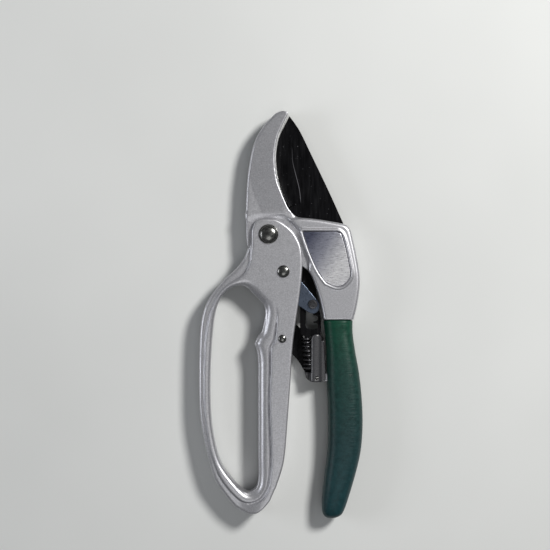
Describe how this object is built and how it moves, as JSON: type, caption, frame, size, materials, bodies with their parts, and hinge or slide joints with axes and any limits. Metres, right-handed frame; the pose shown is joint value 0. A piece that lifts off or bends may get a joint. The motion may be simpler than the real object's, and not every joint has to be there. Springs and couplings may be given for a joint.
{
  "type": "ratchet anvil pruner",
  "caption": "Hand pruner with a curved anvil jaw, a coated blade, a finger-loop handle, a dipped grip, a notched ratchet link, an opening spring and a safety catch.",
  "frame": {"origin": "centre of the tool's box at the plane it lies on", "axes": "+Y towards the jaw tips, +X towards the dipped grip, +Z out of the front face"},
  "size_m": [0.085, 0.2114, 0.0175],
  "materials": {
    "cast_silver": "satin sprayed casting",
    "anvil_insert": "machined",
    "nameplate": "brushed",
    "grip_vinyl": "dipped vinyl, slightly mottled",
    "polished_steel": "polished",
    "bronze_bush": "sintered",
    "dark_plastic": "moulded",
    "spring_steel": "blackened wire",
    "black_coating": "gloss non-stick coating",
    "link_steel": "blued, brushed"
  },
  "bodies": {
    "frame_body": {"anvil_frame": "cast_silver", "anvil_insert": "anvil_insert", "nameplate": "nameplate", "grip_sleeve": "grip_vinyl", "pivot_rivet": "polished_steel", "pivot_bush": "bronze_bush", "pivot_washer": "polished_steel", "spring_saddle": "dark_plastic", "saddle_pin": "polished_steel", "catch_pin": "polished_steel", "opening_spring": "spring_steel"},
    "blade_body": {"blade": "black_coating"},
    "handle_body": {"loop_handle": "cast_silver", "link_rivet": "polished_steel", "catch_rivet": "polished_steel", "link_spacer_front": "polished_steel", "link_spacer_rear": "polished_steel", "catch_spacer": "dark_plastic"},
    "link_body": {"link_plate_front": "link_steel", "link_plate_rear": "link_steel", "link_pin": "spring_steel"},
    "catch_body": {"catch_lever": "black_coating"}
  },
  "joints": [
    {"name": "handle_open", "type": "hinge", "parent": "frame_body", "child": "handle_body", "pos_m": [-0.00645, 0.04196, 0.0076], "axis": [0, 0, -1], "range_deg": [0, 32], "stiffness_Nm_per_rad": 0.5, "springref_deg": 32},
    {"name": "blade_open", "type": "hinge", "parent": "frame_body", "child": "blade_body", "pos_m": [-0.00645, 0.04196, 0.0076], "axis": [0, 0, -1], "range_deg": [0, 32], "deforming": ["opening_spring"]},
    {"name": "pawl_swing", "type": "hinge", "parent": "handle_body", "child": "link_body", "pos_m": [0.00125, 0.02276, 0.0076], "axis": [0, 0, -1], "range_deg": [0, 5]},
    {"name": "catch_swing", "type": "hinge", "parent": "handle_body", "child": "catch_body", "pos_m": [0.00064, -0.01194, 0.0076], "axis": [0, 0, 1], "range_deg": [0, 6.5]}
  ],
  "couplings": [
    {"joint": "blade_open", "follows": "handle_open", "ratio": 1}
  ]
}
